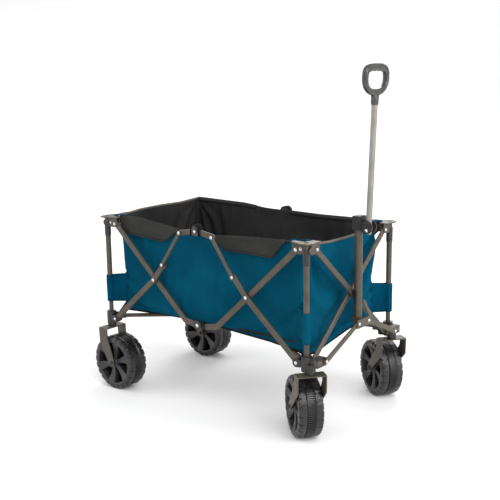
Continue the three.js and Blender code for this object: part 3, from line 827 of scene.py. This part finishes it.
def add_grip():
    """The moulded D grip: a rounded ring with finger scallops under its bar, and its tapered neck."""
    place = Matrix.Translation(Vector(PIVOT)) @ Matrix.Rotation(LEAN, 4, "Y")
    around, section = 128, 20
    verts, faces = [], []
    for i in range(around):
        a = 2 * math.pi * i / around
        c, d = math.cos(a), math.sin(a)
        outer_p, inner_p = (0.66, 0.58) if d > 0 else (0.94, 0.72)
        outer_high, inner_high = (43.0, 23.0) if d > 0 else (56.0, 29.0)
        outer = (68.0 * signed_power(c, outer_p), 468.0 + outer_high * signed_power(d, outer_p))
        inner = [50.0 * signed_power(c, inner_p), 464.0 + inner_high * signed_power(d, inner_p)]
        if d > 0:
            fade = max(0.0, 1 - abs(inner[0]) / 46.0) ** 0.3
            inner[1] += 1.5 * math.cos(2 * math.pi * inner[0] / 22.0) * fade
        for k in range(section):
            t = 2 * math.pi * k / section
            u, w = signed_power(math.cos(t), 0.8), signed_power(math.sin(t), 0.8)
            y = (outer[0] + inner[0]) / 2 + (outer[0] - inner[0]) / 2 * u
            z = (outer[1] + inner[1]) / 2 + (outer[1] - inner[1]) / 2 * u
            verts.append(place @ Vector((9.4 * w, y, z)))
    for i in range(around):
        for k in range(section):
            p, q = i * section, (i + 1) % around * section
            faces.append((p + k, q + k, q + (k + 1) % section, p + (k + 1) % section))
    ring = make("grip_ring", verts, faces, GRIP, "grip")
    verts, faces = [], []
    stations = [(424, 26, 8.6), (418, 21, 9.4), (412, 16.4, 10.4), (406, 13.6, 11.4), (398, 12.4, 11.8),
                (388.4, 11.6, 11.4), (386.6, 10.8, 10.8)]
    sides = 28
    for z, ry, rx in stations:
        for k in range(sides):
            t = 2 * math.pi * k / sides
            verts.append(place @ Vector((rx * math.sin(t), ry * math.cos(t), z)))
    for i in range(len(stations) - 1):
        for k in range(sides):
            p, q = i * sides + k, i * sides + (k + 1) % sides
            faces.append((p, p + sides, q + sides, q))
    faces.append(tuple(range(sides)))
    faces.append(tuple(range(len(verts) - 1, len(verts) - 1 - sides, -1)))
    neck = make("grip_neck", verts, faces, GRIP, "grip")
    for piece in (ring, neck):
        face_out(piece)
        piece.data.shade_smooth()
    add_modifier(neck, "EDGE_SPLIT", split_angle=math.radians(50))
    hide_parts("grip")


def add_fittings():
    for key, (sx, sy) in CORNERS.items():
        side = (0, sy, 0)
        end = (sx, 0, 0)
        y_out = sy * 247.6
        rivet(f"rivet_hub_side_{key}", (sx * 409, sy * 252.4, 256), side, f"corner_{key}", 4.2)
        rivet(f"rivet_top_side_{key}", (sx * 401, sy * 241.6, 606), side, f"upper_{key}")
        rivet(f"rivet_top_post_{key}", (sx * 421, sy * 241.6, 610), side, f"upper_{key}", 4.0)
        rivet(f"rivet_cross_{key}", (sx * 207.6, y_out, 428.7), side, f"bar_short_{key}")
        rivet(f"rivet_link_{key}", (sx * 158, sy * 253.6, 489), side, f"link_{key}", 4.2)
        rivet(f"rivet_rail_{key}", (sx * 72, sy * 253.6, 609), side, f"link_{key}", 4.2)
        x_hub = 453.2 if key in ("fr", "rr") else 443.4
        rivet(f"rivet_hub_end_{key}", (sx * x_hub, sy * 211, 250), end, f"corner_{key}", 4.2)
        x_top = 456.4 if key in ("fl", "rl") else 446.6
        rivet(f"rivet_top_end_{key}", (sx * x_top, sy * 204, 607), end, f"upper_{key}", 4.2)
        sleeve = [(9.6, 562), (10.6, 562), (11.2, 564), (11.0, 590), (11.6, 604), (11.6, 610),
                  (9.6, 610), (9.6, 562)]
        lathe(f"sleeve_{key}", sleeve, Matrix.Translation((sx * POST_X, sy * POST_Y, 0)), PLASTIC,
              f"upper_{key}", 32)
        lip = [(8.3, 404), (10.6, 404), (11.0, 406), (10.6, 412), (9.6, 413)]
        lathe(f"tube_lip_{key}", lip, Matrix.Translation((sx * POST_X, sy * POST_Y, 0)), STEEL,
              f"upper_{key}", 32)
        knuckle = [(0, -2.2), (9.4, -2.2), (10.4, -1.2), (10.4, 6.2), (9.4, 7.2), (0, 7.2)]
        lathe(f"knuckle_{key}", knuckle, facing((sx * 150, sy * 239.6, 487), side), PLASTIC,
              f"bar_short_{key}", 28)
    for key, (centre, turn, body) in wheel_frames().items():
        axis = Vector((-math.sin(turn), math.cos(turn), 0))
        for s in (-1, 1):
            p = Vector(centre) + axis * s * 50.6
            rivet(f"axle_cap_{key}_{'out' if s > 0 else 'in'}", tuple(p), tuple(axis * s), body, 4.6, PLASTIC)
    for key, sy in (("left", -1), ("right", 1)):
        side = (0, sy, 0)
        rivet(f"rivet_rail_centre_{key}", (0, sy * 253.4, 621), side, f"top_rail_{key}", 4.2)
        rivet(f"rivet_mid_{key}", (0, sy * 252.2, 303), side, f"side_{key}", 4.8)
        verts, faces = [], []
        arc = [(-17.2, 606), (-17.6, 620)]
        for k in range(13):
            arc.append((-17.4 * math.cos(math.pi * k / 12), 628 + 15.8 * math.sin(math.pi * k / 12)))
        arc += [(17.6, 620), (17.2, 606)]
        for x, z in arc:
            for y in (229.6, 232.0, 252.0, 254.2):
                verts.append((x + (0.5 if y in (232.0, 252.0) else 0.0) * math.copysign(1, x), sy * y, z))
        for i in range(len(arc) - 1):
            for j in range(3):
                q = i * 4 + j
                faces.append((q, q + 1, q + 5, q + 4))
        strap = make(f"rail_strap_{key}", verts, faces, WEBBING, f"top_rail_{key}")
        add_modifier(strap, "SOLIDIFY", thickness=0.0022, offset=0.0)
        cap = [(0, 1.6), (12.4, 1.6), (13.6, 0.8), (13.8, -1.0), (0, -1.0)]
        lathe(f"rail_knob_{key}", cap, facing((0, sy * 252.4, 626), side), PLASTIC, f"top_rail_{key}",
              32)
    for sy in (-1, 1):
        name = "left" if sy < 0 else "right"
        rivet(f"rivet_foot_{name}", (495.4, sy * 28, 342), (1, 0, 0), "mast", 4.2)
        rivet(f"rivet_strut_{name}", (491.6, sy * 203, 264), (1, 0, 0), f"foot_strut_{name}", 4.2)
        rivet(f"rivet_pivot_{name}", (506, sy * 15.0, 641), (0, sy, 0), "mast", 4.4)


# ---- camera, light and backdrop ----
def add_stage():
    right = Vector((0.77095, 0.63674, -0.01387))
    up = Vector((-0.11524, 0.16089, 0.98022))
    back = Vector((0.62638, -0.75411, 0.19742))
    cam_data = bpy.data.cameras.new("camera")
    cam = bpy.data.objects.new("camera", cam_data)
    bpy.context.scene.collection.objects.link(cam)
    cam_data.sensor_width = 36.0
    cam_data.lens = 63.68
    cam_data.clip_end = 100
    rotation = Matrix((right, up, back)).transposed().to_4x4()
    cam.matrix_world = Matrix.Translation((1.93408, -2.35873, 1.12969)) @ rotation
    bpy.context.scene.camera = cam

    paper, tree, bsdf = new_material("backdrop_paper")
    coords, tex, ramp = mottle(tree, 0.8, (0.86, 0.86, 0.86), (0.88, 0.88, 0.88))
    tree.links.new(ramp.outputs["Color"], bsdf.inputs["Base Color"])
    bsdf.inputs["Roughness"].default_value = 0.9
    mesh = bpy.data.meshes.new("floor")
    ahead = Vector((-back.x, -back.y, 0)).normalized()
    across_view = Vector((ahead.y, -ahead.x, 0))
    profile = [(-9.0, 0.0), (2.6, 0.0)]
    for t in np.linspace(0.08, math.pi / 2, 20):
        profile.append((2.6 + 3.0 * math.sin(t), 3.0 - 3.0 * math.cos(t)))
    profile += [(5.6, 9.0)]
    sweep = [ahead * d + across_view * w + Vector((0, 0, h - 0.0005)) for d, h in profile for w in (-14, 14)]
    quads = [(2 * i, 2 * i + 1, 2 * i + 3, 2 * i + 2) for i in range(len(profile) - 1)]
    mesh.from_pydata([tuple(p) for p in sweep], [], quads)
    mesh.shade_smooth()
    floor = bpy.data.objects.new("floor", mesh)
    bpy.context.scene.collection.objects.link(floor)
    set_material(floor, paper)

    world = bpy.data.worlds.new("studio")
    bpy.context.scene.world = world
    world.use_nodes = True
    background = world.node_tree.nodes["Background"]
    background.inputs["Color"].default_value = (1, 1, 1, 1)
    background.inputs["Strength"].default_value = 0.95
    lights = [
        ("key", (3.0, -1.7, 3.2), 2.4, 100),
        ("fill", (-3.0, -2.2, 2.0), 3.0, 38),
        ("rim", (-1.2, 3.2, 3.0), 2.5, 60),
        ("front", (3.4, 0.6, 1.6), 2.0, 45),
    ]
    for name, place, size, power in lights:
        data = bpy.data.lights.new(name, "AREA")
        data.size = size
        data.energy = power
        light = bpy.data.objects.new(name, data)
        bpy.context.scene.collection.objects.link(light)
        light.location = place
        light.rotation_euler = (Vector((0, 0, 0.4)) - Vector(place)).to_track_quat("-Z", "Y").to_euler()
    bpy.context.scene.view_settings.view_transform = "Standard"


dress_cad()
add_bag()
add_trims()
add_flaps()
add_corner_patches()
add_floor()
add_wheels()
add_grip()
add_hub_plates()
add_fittings()
add_stage()
